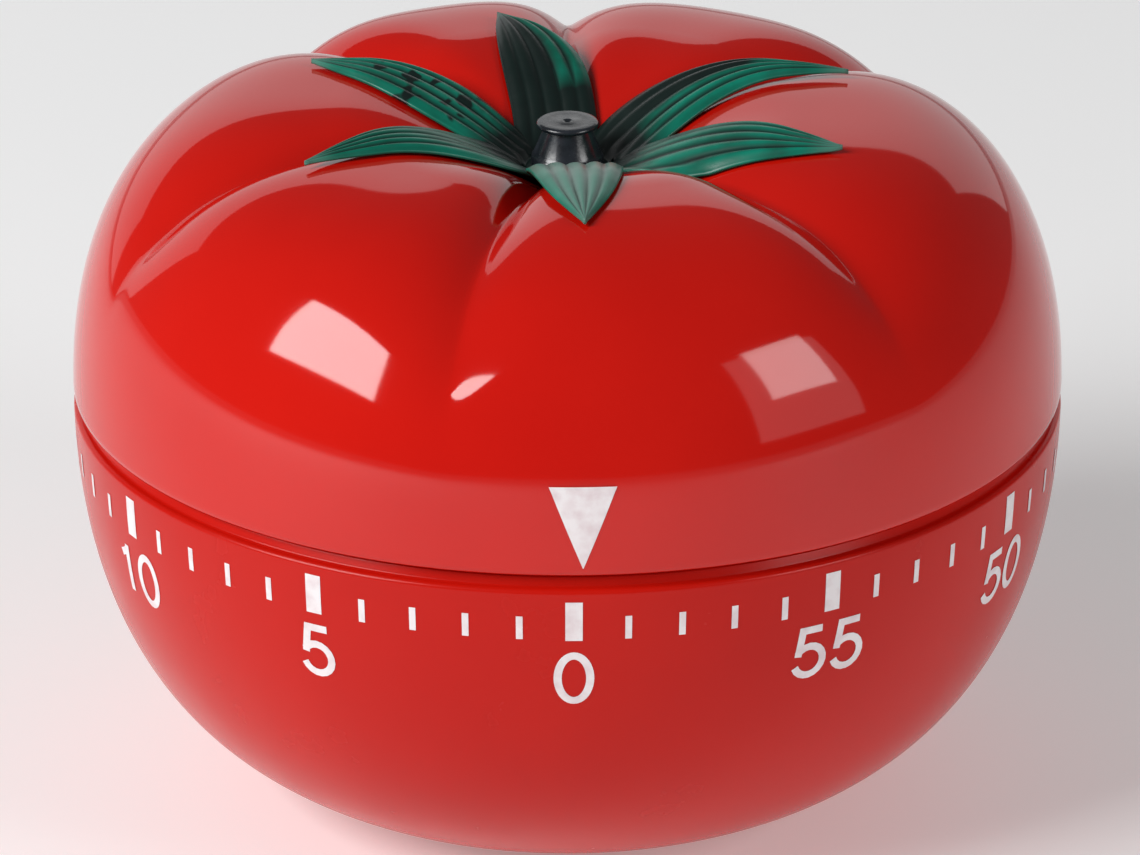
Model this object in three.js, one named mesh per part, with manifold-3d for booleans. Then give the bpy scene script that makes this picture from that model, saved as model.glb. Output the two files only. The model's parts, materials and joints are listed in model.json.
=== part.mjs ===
// Mechanical kitchen timer in the shape of a tomato, in millimetres.
// +Z is up, the foot stands on z = 0, and the zero mark of the scale faces -Y.
import * as THREE from 'three';
import { mergeVertices } from 'three/addons/utils/BufferGeometryUtils.js';
import Module from 'manifold-3d';

const wasm = await Module();
wasm.setup();

// ---- driving dimensions ----

const R = 36; // radius of the timer at its seam
const SCALE_TOP = 0.785 * R; // height of the upper ends of the scale's long marks
const LOWER_RIM = 29; // top edge of the lower shell
const UPPER_RIM = 30; // bottom edge of the dial: the seam is the gap between them
const LIP_RADIUS = 35.25; // the lower shell's lip, which stands in the seam under the dial's edge
const LIP_TOP = 29.75;
const LOWER_WALL = 2;
const DIAL_WALL = 1.8;
const FLOOR = 2; // thickness of the lower shell's floor

// The dial's six lobes lie between these creases, in degrees from +X.
const CREASES = [36, 90, 135, 200, 256, 314];
// Crest radius and height, edge exponents and height of the inner slope's foot, in units of R.
const LOBE = { crest: 0.465, top: 0.628, a: 0.679, b: 0.935, inner: 0.484 };
const CREASE = { crest: 0.484, top: 0.567, a: 0.76, b: 0.964, inner: 0.473 };
const EQUATOR = 0.999; // the dial's widest radius, in units of R
const CREASE_POWER = 4.2; // how sharply the surface falls into a crease
const CREASE_START = 0.17; // how far up the side the creases begin and reach full depth
const CREASE_FULL = 0.62;
const SLOPE_FOOT = 0.1; // radius where the lobes' inner slopes end, in units of R
const DIMPLE_FLOOR = 0.47 * R + SCALE_TOP;
const DIMPLE_RADIUS = 3.2;

// Leaves of the calyx: azimuth in degrees, length, half width and sideways bend in millimetres, the place
// along the leaf where it is widest, its width at the foot as a share of the widest, the fullness of its
// point (1 for straight sides), and how far its clockwise edge hangs down.
const LEAVES = [
  { azimuth: 106, length: 18.8, half: 3.1, widest: 0.3, bend: -1.1, foot: 1, taper: 2.4, hang: 0 },
  { azimuth: 156, length: 20.4, half: 3.1, widest: 0.4, bend: 0, foot: 0.7, taper: 1.8, hang: 0 },
  { azimuth: 213, length: 22, half: 4.1, widest: 0.1, bend: -0.2, foot: 0.75, taper: 1.5, hang: 0 },
  { azimuth: 273, length: 22.9, half: 3.4, widest: 0.3, bend: 0, foot: 0.6, taper: 2.4, hang: 0 },
  { azimuth: 335, length: 21.4, half: 3.7, widest: 0.25, bend: -0.9, foot: 0.95, taper: 2.4, hang: 1.7 },
  { azimuth: 17, length: 21.3, half: 3.6, widest: 0.1, bend: 2.4, foot: 0.95, taper: 1.6, hang: 0 },
];
const LEAF_START = 2.6; // distance of a leaf's foot from the axis
const LEAF_THICK = 0.8;
const LEAF_GAP = 0.35; // under a leaf where it lies on the lobes
const STEM_TOP = 49.7;
const STEM_BORE = 1.5; // radius of the hole for the stem's shank
const SHANK = { radius: 1.35, bottom: 42.6 };

// Heights inside the case.
const BELL_BOTTOM = 4.25;
const BELL_TOP = 11;
const BELL_RADIUS = 22.5;
const BELL_THICK = 0.8;
const BACK_PLATE = [13, 14];
const SPRING = [14.6, 17.8];
const BAR = [16, 17];
const LEVEL_C = [18.4, 19.1]; // third wheel
const LEVEL_B = [20.25, 21]; // second wheel and escape wheel
const LEVER = [21.25, 21.75]; // pallet lever, hammer finger and trip cam
const LEVEL_A = [22.5, 23.5]; // main wheel
const FRONT_PLATE = [24.5, 25.5];
const DECK = [26.5, 28.5];
const COLLAR_TOP = 32;
const PLATE_RADIUS = 24;
const COLLAR_RADIUS = 33.5;
const COLLAR_WALL = 1.8;

// Wheel train: teeth, leaves and modules.
const WHEEL_TEETH = 60;
const PINION_LEAVES = 8;
const ESCAPE_TEETH = 15;
const ESCAPE_RADIUS = 4.3;
const MODULE_A = 0.36;
const MODULE_B = 0.32;
const MODULE_C = 0.28;
const meshDistance = (module) => (WHEEL_TEETH + PINION_LEAVES) * module / 2;

// Arbor places, each as a radius and an azimuth about the main arbor.
const ARBOR_RADIUS = 1.6;
const rad = THREE.MathUtils.degToRad;
const polar = (radius, azimuth) => new THREE.Vector2(radius * Math.cos(azimuth), radius * Math.sin(azimuth));
const MAIN = new THREE.Vector2(0, 0);
const SECOND = polar(meshDistance(MODULE_A), rad(200));
const THIRD = nextArbor(SECOND, meshDistance(MODULE_B), 13.2);
const ESCAPE = nextArbor(THIRD, meshDistance(MODULE_C), 13.5);
const ANCHOR = nextArbor(ESCAPE, 6.5, 15.5);
const HAMMER = new THREE.Vector2(13, -10);
const PILLARS = [5, 120, 245].map((azimuth) => polar(21.8, rad(azimuth)));
const BOSSES = [30, 150, 270].map((azimuth) => polar(28.8, rad(azimuth)));
const PIN_PALLET = 0.3; // radius of a pallet pin
const PIN_REACH = 4.95; // from the escape arbor to a pin
const CAM_RADIUS = 7;
const CAM_NOTCH_AT = -15; // azimuth of the notch that the hammer's finger drops into at zero
const CAM_NOTCH_WIDE = 26;
const FINGER_TIP = polar(8, rad(CAM_NOTCH_AT));
const HAMMER_HEAD = polar(19.8, rad(-60));
const STOP_RADIUS = 28; // of the stop pin on the deck and the rib in the dial
const STOP_AZIMUTH = 300;
const STOP_STEP = 1.5; // degrees between pin and rib at zero

// Screws.
const SCREW_HEAD = { radius: 2.4, tall: 1.1, slot: 0.6 };
const CASE_SCREW = { shank: 1.25, tip: 20 };
const MOVEMENT_SCREW = { shank: 1, tip: 20.5 };

// The place at the given radius whose distance from the last arbor is the mesh distance.
function nextArbor(last, distance, radius) {
  const reach = last.length();
  const turn = Math.acos((reach * reach + radius * radius - distance * distance) / (2 * reach * radius));
  return polar(radius, Math.atan2(last.y, last.x) - turn);
}

// ---- colours ----

const look = (color, roughness, metalness) => new THREE.MeshStandardMaterial({ color, roughness, metalness });
const RED = look(0xc8101c, 0.18, 0);
const GREEN = look(0x2f9a3c, 0.3, 0);
const BLACK = look(0x17181a, 0.3, 0);
const STEEL = look(0xa9adb2, 0.35, 1);
const BRASS = look(0xc9a250, 0.35, 1);
const SPRING_STEEL = look(0x59606b, 0.3, 1);
const NICKEL = look(0xd2d4d6, 0.2, 1);

// ---- shapes ----

function toSolid(geometry) {
  const bare = geometry.clone();
  bare.deleteAttribute('normal');
  bare.deleteAttribute('uv');
  const merged = mergeVertices(bare, 1e-5);
  const index = merged.index.array;
  const faces = [];
  for (let i = 0; i < index.length; i += 3) {
    const [a, b, c] = [index[i], index[i + 1], index[i + 2]];
    if (a !== b && b !== c && c !== a) faces.push(a, b, c);
  }
  const vertProperties = new Float32Array(merged.attributes.position.array);
  const mesh = new wasm.Mesh({ numProp: 3, vertProperties, triVerts: new Uint32Array(faces) });
  return new wasm.Manifold(mesh);
}

function toGeometry(solid) {
  const mesh = solid.getMesh();
  const geometry = new THREE.BufferGeometry();
  geometry.setAttribute('position', new THREE.BufferAttribute(mesh.vertProperties, 3));
  geometry.setIndex(new THREE.BufferAttribute(mesh.triVerts, 1));
  geometry.computeVertexNormals();
  return geometry;
}

function circle(radius, count, centre = MAIN) {
  const points = [];
  for (let i = 0; i < count; i += 1) points.push(polar(radius, 2 * Math.PI * i / count).add(centre));
  return points;
}

// A flat piece between two heights, with holes.
function slab(outline, [bottom, top], holes = []) {
  const shape = new THREE.Shape(outline);
  shape.holes = holes.map((hole) => new THREE.Path(hole));
  const geometry = new THREE.ExtrudeGeometry(shape, { depth: top - bottom, bevelEnabled: false });
  return geometry.translate(0, 0, bottom);
}

// A turned piece about Z from [radius, height] points, counter-clockwise from the bottom of its axis.
function turned(profile, segments) {
  const points = profile.map(([radius, height]) => new THREE.Vector2(radius, height));
  return new THREE.LatheGeometry(points, segments).rotateX(Math.PI / 2);
}

function rod(radius, [bottom, top], segments = 12) {
  return turned([[0, bottom], [radius, bottom], [radius, top], [0, top]], segments);
}

function tube(radius, bore, [bottom, top], segments = 16) {
  return turned([[bore, bottom], [radius, bottom], [radius, top], [bore, top], [bore, bottom]], segments);
}

function box(size, centre) {
  return new THREE.BoxGeometry(...size).translate(...centre);
}

function joined(...geometries) {
  return toGeometry(geometries.map(toSolid).reduce((whole, piece) => whole.add(piece)));
}

function cut(geometry, ...tools) {
  return toGeometry(tools.map(toSolid).reduce((whole, tool) => whole.subtract(tool), toSolid(geometry)));
}

// A bar with round ends from one place to another, seen from above.
function link(from, to, half, count = 4) {
  const along = Math.atan2(to.y - from.y, to.x - from.x);
  const points = [];
  const turn = (i) => Math.PI * (i / count - 0.5);
  for (let i = 0; i <= count; i += 1) points.push(polar(half, along + turn(i)).add(to));
  for (let i = 0; i <= count; i += 1) points.push(polar(-half, along + turn(i)).add(from));
  return points;
}

// ---- assembly ----

const timer = new THREE.Group();

function add(name, geometry, material, place = MAIN) {
  const mesh = new THREE.Mesh(geometry, material);
  mesh.name = name;
  mesh.position.set(place.x, place.y, 0);
  timer.add(mesh);
  return mesh;
}

// ---- the dial: lobed upper shell ----

function smooth(from, to, value) {
  const x = THREE.MathUtils.clamp((value - from) / (to - from), 0, 1);
  return x * x * (3 - 2 * x);
}

// Radius and height of one meridian; t runs 0 to 1 up the side and 1 to 2 down the slope into the dimple.
function meridian(t, shape) {
  if (t <= 1) {
    const angle = t * Math.PI / 2;
    return new THREE.Vector2(
      shape.crest + (EQUATOR - shape.crest) * Math.max(Math.cos(angle), 0) ** shape.a,
      0.05 + (shape.top - 0.05) * Math.sin(angle) ** shape.b,
    );
  }
  return new THREE.Vector2(
    shape.crest - (shape.crest - SLOPE_FOOT) * (t - 1),
    shape.top - (shape.top - shape.inner) * (1 - Math.cos((t - 1) * Math.PI / 2)),
  );
}

// The dial's surface; across runs from -1 to 1 over one lobe, from crease to crease.
function dialPoint(t, across) {
  const lobe = meridian(t, LOBE);
  const depth = smooth(CREASE_START, CREASE_FULL, t) * Math.abs(across) ** CREASE_POWER;
  const point = lobe.lerp(meridian(t, CREASE), depth).multiplyScalar(R);
  point.y += SCALE_TOP;
  return point;
}

function dialInside(t, across) {
  const step = 1e-3;
  const before = dialPoint(Math.max(t - step, 0), across);
  const after = dialPoint(t + step, across);
  const along = after.sub(before).normalize();
  return dialPoint(t, across).add(new THREE.Vector2(-along.y, along.x).multiplyScalar(DIAL_WALL));
}

const LOBE_STEPS = 8;
const dialColumns = [];
CREASES.forEach((crease, i) => {
  const next = i + 1 < CREASES.length ? CREASES[i + 1] : CREASES[0] + 360;
  for (let step = 0; step < LOBE_STEPS; step += 1) {
    const across = 2 * step / LOBE_STEPS - 1;
    dialColumns.push({ azimuth: rad(crease + (next - crease) * (across + 1) / 2), across });
  }
});

function acrossAt(azimuth) {
  const turn = 2 * Math.PI;
  const from = ((azimuth - dialColumns[0].azimuth) % turn + turn) % turn + dialColumns[0].azimuth;
  const i = CREASES.findLastIndex((crease) => rad(crease) <= from + 1e-9);
  const next = i + 1 < CREASES.length ? CREASES[i + 1] : CREASES[0] + 360;
  return 2 * (from - rad(CREASES[i])) / rad(next - CREASES[i]) - 1;
}

// A lathe whose columns follow the lobes: profileAt gives the same number of points for each column.
function lobed(profileAt) {
  const columns = [...dialColumns, dialColumns[0]];
  const profiles = columns.map(({ across }) => profileAt(across));
  const geometry = new THREE.LatheGeometry(profiles[0], dialColumns.length);
  const position = geometry.attributes.position;
  columns.forEach(({ azimuth }, i) => {
    profiles[i].forEach((point, j) => {
      const place = polar(point.x, azimuth);
      position.setXYZ(i * profiles[i].length + j, place.x, place.y, point.y);
    });
  });
  return geometry;
}

const SIDE = [0, 0.06, 0.17, 0.3, 0.44, 0.58, 0.7, 0.81, 0.91, 1];
const SLOPE = [1.3, 1.65, 2];

const dialOutside = lobed((across) => [
  new THREE.Vector2(0, UPPER_RIM),
  ...[...SIDE, ...SLOPE].map((t) => dialPoint(t, across)),
  new THREE.Vector2(DIMPLE_RADIUS, DIMPLE_FLOOR),
  new THREE.Vector2(0, DIMPLE_FLOOR),
]);
const dialHollow = lobed((across) => [
  new THREE.Vector2(0, UPPER_RIM - 1),
  new THREE.Vector2(R - DIAL_WALL, UPPER_RIM - 1),
  ...[...SIDE.slice(1), ...SLOPE].map((t) => dialInside(t, across)),
  new THREE.Vector2(0, DIMPLE_FLOOR - DIAL_WALL),
]);

const HUB = { radius: 4.2, bottom: 29.4, top: 40, boreTop: 41.5 };
const ARBOR_FLAT = 1.1; // distance of the arbor's flat from its axis
const dBore = cut(
  rod(ARBOR_RADIUS + 0.05, [HUB.bottom - 1, HUB.boreTop], 16),
  box([2, 6, 20], [ARBOR_FLAT + 0.05 + 1, 0, HUB.bottom + 5]),
);
const RIB_TALL = 20; // long enough to run into the dial's wall
const stopRib = box([5, 0.5, RIB_TALL], [STOP_RADIUS, 0, UPPER_RIM + 0.5 + RIB_TALL / 2])
  .rotateZ(rad(STOP_AZIMUTH + STOP_STEP));
const stemHole = rod(STEM_BORE, [SHANK.bottom - 0.2, DIMPLE_FLOOR + 1], 16);

function dialShell() {
  const post = (top) => toSolid(rod(HUB.radius, [HUB.bottom, top], 24));
  const hollow = toSolid(dialHollow).subtract(toSolid(stopRib)).subtract(post(STEM_TOP));
  const shell = toSolid(dialOutside).add(post(HUB.top));
  return toGeometry(shell.subtract(hollow).subtract(toSolid(dBore)).subtract(toSolid(stemHole)));
}

add('upper_shell', dialShell(), RED);

// ---- calyx and stem ----

// Height of the dial at a distance from the axis; across 0 gives the lobes' tops.
function dialHeight(radius, across) {
  const foot = dialPoint(2, across);
  if (radius <= foot.x) {
    const share = THREE.MathUtils.clamp((radius - DIMPLE_RADIUS) / (foot.x - DIMPLE_RADIUS), 0, 1);
    return DIMPLE_FLOOR + share * (foot.y - DIMPLE_FLOOR);
  }
  let [low, high] = [0, 2];
  for (let i = 0; i < 30; i += 1) {
    const middle = (low + high) / 2;
    if (dialPoint(middle, across).x > radius) low = middle;
    else high = middle;
  }
  return dialPoint(low, across).y;
}

function leafHalfWidth({ half, widest, foot, taper }, share) {
  if (share < widest) return half * (foot + (1 - foot) * smooth(0, widest, share));
  return Math.max(half * (1 - ((share - widest) / (1 - widest)) ** taper), 0.15);
}

// One leaf: a box bent to lie on the lobes and bridge the creases, pointed at its tip, thinner at its edges.
function leaf(shape) {
  const geometry = new THREE.BoxGeometry(1, 1, 1, 8, 3, 1);
  const position = geometry.attributes.position;
  for (let i = 0; i < position.count; i += 1) {
    const share = position.getX(i) + 0.5;
    const side = 2 * position.getY(i);
    const along = LEAF_START + share * (shape.length - LEAF_START);
    const hump = 4 * share * (1 - share);
    const place = new THREE.Vector2(along, shape.bend * hump + side * leafHalfWidth(shape, share));
    place.rotateAround(MAIN, rad(shape.azimuth));
    const radius = place.length();
    const hanging = dialHeight(radius, 0) - shape.hang * hump * (1 - side) / 2;
    const under = Math.max(hanging, dialHeight(radius, acrossAt(place.angle()))) + LEAF_GAP;
    const thick = LEAF_THICK * (1 - 0.4 * side * side);
    position.setXYZ(i, place.x, place.y, under + (position.getZ(i) > 0 ? thick : 0));
  }
  return geometry;
}

const CALYX_DISC = [DIMPLE_FLOOR + 0.25, DIMPLE_FLOOR + 1.15];
const calyxBody = joined(rod(3, CALYX_DISC, 24), ...LEAVES.map(leaf));
add('calyx', cut(calyxBody, rod(STEM_BORE, [DIMPLE_FLOOR - 1, STEM_TOP + 5], 16)), GREEN);

// The peg's shank goes down into the dial's hub; above the calyx it narrows to a neck under its cap.
const stemProfile = [
  [0, SHANK.bottom], [SHANK.radius, SHANK.bottom], [SHANK.radius, CALYX_DISC[1]], [2.65, CALYX_DISC[1]],
  [2.55, CALYX_DISC[1] + 0.7], [1.7, STEM_TOP - 0.6], [2.25, STEM_TOP - 0.5], [2.25, STEM_TOP - 0.2],
  [2, STEM_TOP], [0, STEM_TOP],
];
add('stem', turned(stemProfile, 20), BLACK);

// ---- lower shell ----

// Outside of the cup: a rounded curve cut flat by the foot.
function cupPoint(angle, inset) {
  const at = (value) => new THREE.Vector2(
    EQUATOR * R * Math.cos(value) ** (2 / 3.303),
    SCALE_TOP + 0.068 * R - 0.878 * R * Math.sin(value) ** (2 / 2.33),
  );
  const along = at(angle + 1e-3).sub(at(Math.max(angle - 1e-3, 0))).normalize();
  return at(angle).add(new THREE.Vector2(along.y, -along.x).multiplyScalar(inset));
}

function cupAngle(height, inset) {
  let [low, high] = [1e-3, 1.5];
  for (let i = 0; i < 40; i += 1) {
    const middle = (low + high) / 2;
    if (cupPoint(middle, inset).y > height) low = middle;
    else high = middle;
  }
  return low;
}

function cupProfile(bottom, top, inset, steps) {
  const points = [[0, bottom]];
  const [from, to] = [cupAngle(bottom, inset), cupAngle(top, inset)];
  for (let i = 0; i <= steps; i += 1) {
    const angle = from + (to - from) * i / steps;
    const point = cupPoint(angle, inset);
    points.push([point.x, i === 0 ? bottom : point.y]);
  }
  return points;
}

const CUP_SEGMENTS = 40;

function lowerShell() {
  const outline = cupProfile(0, LOWER_RIM, 0, 11);
  outline[outline.length - 1][1] = LOWER_RIM;
  const hollowOutline = cupProfile(FLOOR, LOWER_RIM, LOWER_WALL, 7);
  hollowOutline[hollowOutline.length - 1][1] = LOWER_RIM;
  const rimRadius = hollowOutline.at(-1)[0];
  hollowOutline.push([rimRadius, LIP_TOP + 1], [0, LIP_TOP + 1]);
  let hollow = toSolid(turned(hollowOutline, CUP_SEGMENTS));
  BOSSES.forEach(({ x, y }) => {
    hollow = hollow.subtract(toSolid(rod(3.2, [1, DECK[0]]).translate(x, y, 0)));
  });
  outline.push([LIP_RADIUS, LOWER_RIM], [LIP_RADIUS, LIP_TOP], [0, LIP_TOP]);
  let shell = toSolid(turned(outline, CUP_SEGMENTS)).subtract(hollow);
  BOSSES.forEach(({ x, y }) => {
    shell = shell.subtract(toSolid(rod(CASE_SCREW.shank + 0.1, [CASE_SCREW.tip - 1, 40]).translate(x, y, 0)));
  });
  for (let i = 0; i < 3; i += 1) {
    const slot = slab(link(polar(5, 0), polar(11, 0), 1), [-1, FLOOR + 1]).rotateZ(rad(60 + 120 * i));
    shell = shell.subtract(toSolid(slot));
  }
  return toGeometry(shell);
}

add('lower_shell', lowerShell(), RED);

// ---- deck: closes the lower shell and carries the movement ----

function deck() {
  const holes = [
    circle(2.4, 16),
    ...BOSSES.map((place) => circle(CASE_SCREW.shank + 0.25, 10, place)),
    ...PILLARS.map((place) => circle(MOVEMENT_SCREW.shank + 0.25, 10, place)),
  ];
  const plate = slab(circle(COLLAR_RADIUS, CUP_SEGMENTS), DECK, holes);
  const collar = tube(COLLAR_RADIUS, COLLAR_RADIUS - COLLAR_WALL, [DECK[0] + 0.5, COLLAR_TOP], CUP_SEGMENTS);
  const spacer = tube(2.4, 1.5, [FRONT_PLATE[1], DECK[0] + 0.2], 12);
  const spacers = PILLARS.map(({ x, y }) => spacer.clone().translate(x, y, 0));
  return joined(plate, collar.rotateZ(Math.PI / 2), ...spacers);
}

add('deck', deck(), RED);
const STOP_PIN = { radius: 0.4, top: 31.5 };
const stopPin = rod(STOP_PIN.radius, [DECK[1], STOP_PIN.top], 10);
add('stop_pin', stopPin, STEEL, polar(STOP_RADIUS, rad(STOP_AZIMUTH)));

// A slotted pan-head screw seen with its head up.
function screw(shank, tip, seat) {
  const body = turned([
    [0, tip], [shank * 0.5, tip], [shank, tip + 1], [shank, seat], [SCREW_HEAD.radius, seat],
    [SCREW_HEAD.radius, seat + SCREW_HEAD.tall * 0.6], [SCREW_HEAD.radius * 0.6, seat + SCREW_HEAD.tall],
    [0, seat + SCREW_HEAD.tall],
  ], 12);
  return cut(body, box([9, 0.6, 1], [0, 0, seat + SCREW_HEAD.tall - SCREW_HEAD.slot + 0.5]));
}

BOSSES.forEach((place, i) => {
  add(`case_screw_${i + 1}`, screw(CASE_SCREW.shank, CASE_SCREW.tip, DECK[1]), STEEL, place);
});

// ---- movement frame ----

const PIVOT = 0.4;
const PIVOT_HOLE = 0.5;
const pivots = [SECOND, THIRD, ESCAPE, ANCHOR];

function plate(levels, mainHole, pillarHole, hammerHole) {
  const holes = [
    circle(mainHole, 12),
    ...pivots.map((place) => circle(PIVOT_HOLE, 6, place)),
    ...PILLARS.map((place) => circle(pillarHole, 8, place)),
    circle(hammerHole, 8, HAMMER),
  ];
  return slab(circle(PLATE_RADIUS, 32), levels, holes);
}

add('front_plate', plate(FRONT_PLATE, ARBOR_RADIUS + 0.1, 1.2, PIVOT_HOLE), STEEL);
add('back_plate', plate(BACK_PLATE, 1.1, 1.1, 1), STEEL);

const PILLAR = { radius: 1.75, stud: 1, studEnd: 11.25, nutBottom: 11.5, nutRadius: 2.2 };
PILLARS.forEach((place, i) => {
  const body = turned([
    [0, PILLAR.studEnd], [PILLAR.stud, PILLAR.studEnd], [PILLAR.stud, BACK_PLATE[1]],
    [PILLAR.radius, BACK_PLATE[1]], [PILLAR.radius, FRONT_PLATE[0]], [0, FRONT_PLATE[0]],
  ], 12);
  const bore = rod(MOVEMENT_SCREW.shank + 0.1, [MOVEMENT_SCREW.tip - 0.5, FRONT_PLATE[0] + 1], 12);
  add(`pillar_${i + 1}`, cut(body, bore), BRASS, place);
  const nutBore = rod(PILLAR.stud + 0.1, [PILLAR.nutBottom - 0.5, BACK_PLATE[1]]);
  const nut = cut(slab(circle(PILLAR.nutRadius, 6), [PILLAR.nutBottom, BACK_PLATE[0]]), nutBore);
  add(`pillar_nut_${i + 1}`, nut, STEEL, place);
  add(`movement_screw_${i + 1}`, screw(MOVEMENT_SCREW.shank, MOVEMENT_SCREW.tip, DECK[1]), STEEL, place);
});

// ---- main arbor and what turns with it ----

const ARBOR_TOP = 41; // inside the dial's hub
const ARBOR_CLIP = [25.7, 26.2]; // above the front plate
const arborBody = turned([
  [0, 13.25], [1, 13.25], [1, BACK_PLATE[1] + 0.25], [ARBOR_RADIUS, BACK_PLATE[1] + 0.25],
  [ARBOR_RADIUS, LEVEL_A[0] - 0.5], [3, LEVEL_A[0] - 0.5], [3, LEVEL_A[0]], [ARBOR_RADIUS, LEVEL_A[0]],
  [ARBOR_RADIUS, ARBOR_TOP], [0, ARBOR_TOP],
], 16);
add('main_arbor', cut(arborBody, box([2, 6, 20], [ARBOR_FLAT + 1, 0, HUB.bottom - 0.5 + 10])), STEEL);
add('arbor_clip', tube(2.9, ARBOR_RADIUS + 0.1, ARBOR_CLIP), SPRING_STEEL);

// Outline of a wheel or pinion. The heights and half widths of a tooth are in modules.
function toothed(teeth, module, { root, tip, rootHalf, tipHalf }) {
  const pitch = teeth * module / 2;
  const [low, high] = [pitch - root * module, pitch + tip * module];
  const points = [];
  for (let i = 0; i < teeth; i += 1) {
    const middle = 2 * Math.PI * i / teeth;
    points.push(polar(low, middle - rootHalf * module / low));
    if (tipHalf === 0) points.push(polar(high, middle));
    else {
      points.push(polar(high, middle - tipHalf * module / high));
      points.push(polar(high, middle + tipHalf * module / high));
    }
    points.push(polar(low, middle + rootHalf * module / low));
  }
  return points;
}

const WHEEL_TOOTH = { root: 1.4, tip: 1.2, rootHalf: 0.85, tipHalf: 0 };
const PINION_LEAF = { root: 1.55, tip: 0.7, rootHalf: 0.42, tipHalf: 0.26 };

function wheel(module, levels, bore) {
  const windows = [];
  const middle = WHEEL_TEETH * module * 0.28;
  for (let i = 0; i < 4; i += 1) windows.push(circle(middle * 0.45, 8, polar(middle, rad(45 + 90 * i))));
  return slab(toothed(WHEEL_TEETH, module, WHEEL_TOOTH), levels, [circle(bore, 12), ...windows]);
}

const angleOf = (from, to) => Math.atan2(to.y - from.y, to.x - from.x);

add('main_wheel', wheel(MODULE_A, LEVEL_A, ARBOR_RADIUS + 0.1), BRASS).rotation.z = angleOf(MAIN, SECOND);

const washerProfile = [
  [ARBOR_RADIUS + 0.1, 23.8], [4.3, 23.55], [4.5, 23.65], [4.4, 23.8], [ARBOR_RADIUS + 0.1, 24.1],
  [ARBOR_RADIUS + 0.1, 23.8],
];
add('clutch_washer', turned(washerProfile, 20), SPRING_STEEL);

function tripCam() {
  const notch = rad(CAM_NOTCH_WIDE) / 2;
  const points = [];
  for (let i = 0; i <= 30; i += 1) {
    points.push(polar(CAM_RADIUS, rad(CAM_NOTCH_AT) + notch + (2 * Math.PI - 2 * notch) * i / 30));
  }
  points.push(polar(5.4, rad(CAM_NOTCH_AT) - notch * 0.8), polar(5.4, rad(CAM_NOTCH_AT) + notch * 0.8));
  return slab(points, LEVER, [circle(ARBOR_RADIUS + 0.1, 12)]);
}

add('trip_cam', tripCam(), STEEL);

// Mainspring: a spiral strip from beside the arbor to its anchor post.
const SPIRAL = { from: 2.1, to: 8.5, turns: 5, strip: 0.3, end: rad(300) };

function spiralSpring() {
  const steps = SPIRAL.turns * 16;
  const edge = (offset) => {
    const points = [];
    for (let i = 0; i <= steps; i += 1) {
      const share = i / steps;
      const angle = SPIRAL.end - 2 * Math.PI * SPIRAL.turns * (1 - share);
      points.push(polar(SPIRAL.from + (SPIRAL.to - SPIRAL.from) * share + offset, angle));
    }
    return points;
  };
  return slab([...edge(SPIRAL.strip), ...edge(0).reverse()], SPRING);
}

add('mainspring', spiralSpring(), SPRING_STEEL);
add('spring_post', rod(0.7, [BACK_PLATE[1], SPRING[1] + 0.4], 10), STEEL, polar(9.9, SPIRAL.end));

// ---- wheel train ----

const SHAFT = 0.7;

// An arbor with its pivots, and a pinion cut in it when it has one.
function arbor(module, pinionLevels) {
  const shaft = turned([
    [0, BACK_PLATE[0] + 0.25], [PIVOT, BACK_PLATE[0] + 0.25], [PIVOT, BACK_PLATE[1] + 0.25],
    [SHAFT, BACK_PLATE[1] + 0.25], [SHAFT, FRONT_PLATE[0] - 0.25], [PIVOT, FRONT_PLATE[0] - 0.25],
    [PIVOT, FRONT_PLATE[1]], [0, FRONT_PLATE[1]],
  ], 10);
  if (!pinionLevels) return shaft;
  return joined(shaft, slab(toothed(PINION_LEAVES, module, PINION_LEAF), pinionLevels));
}

// The pinion's turn that puts the gap between two leaves against the wheel that drives it.
const gapToward = (own, driver) => angleOf(own, driver) + Math.PI / PINION_LEAVES;

function moving(name, geometry, material, place, turn) {
  add(name, geometry, material, place).rotation.z = turn;
}

const aroundLevel = ([bottom, top]) => [bottom - 0.3, top + 0.3];
moving('second_arbor', arbor(MODULE_A, aroundLevel(LEVEL_A)), STEEL, SECOND, gapToward(SECOND, MAIN));
moving('second_wheel', wheel(MODULE_B, LEVEL_B, SHAFT + 0.05), BRASS, SECOND, angleOf(SECOND, THIRD));
moving('third_arbor', arbor(MODULE_B, aroundLevel(LEVEL_B)), STEEL, THIRD, gapToward(THIRD, SECOND));
moving('third_wheel', wheel(MODULE_C, LEVEL_C, SHAFT + 0.05), BRASS, THIRD, angleOf(THIRD, ESCAPE));
moving('escape_arbor', arbor(MODULE_C, aroundLevel(LEVEL_C)), STEEL, ESCAPE, gapToward(ESCAPE, THIRD));

function escapeWheel() {
  const points = [];
  for (let i = 0; i < ESCAPE_TEETH; i += 1) {
    const at = 2 * Math.PI * i / ESCAPE_TEETH;
    points.push(polar(ESCAPE_RADIUS - 1.2, at));
    points.push(polar(ESCAPE_RADIUS, at + rad(8)));
    points.push(polar(ESCAPE_RADIUS, at + rad(10)));
    points.push(polar(ESCAPE_RADIUS - 1.2, at + rad(13)));
  }
  return slab(points, LEVEL_B, [circle(SHAFT + 0.05, 10)]);
}

add('escape_wheel', escapeWheel(), BRASS, ESCAPE);

// ---- pallet lever: two pins either side of the escape wheel, and a balance bar ----

function palletLever() {
  const across = angleOf(ESCAPE, ANCHOR);
  const pins = [-45, 45].map((side) => polar(PIN_REACH, across + rad(side)).add(ESCAPE).sub(ANCHOR));
  const pieces = pins.flatMap((pin) => [
    slab(link(MAIN, pin, 0.6), LEVER),
    rod(PIN_PALLET, [LEVEL_B[0] - 0.2, LEVER[0] + 0.2], 8).translate(pin.x, pin.y, 0),
  ]);
  return cut(joined(...pieces, rod(1.3, LEVER, 12)), rod(SHAFT + 0.05, [0, 40], 10));
}

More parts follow.
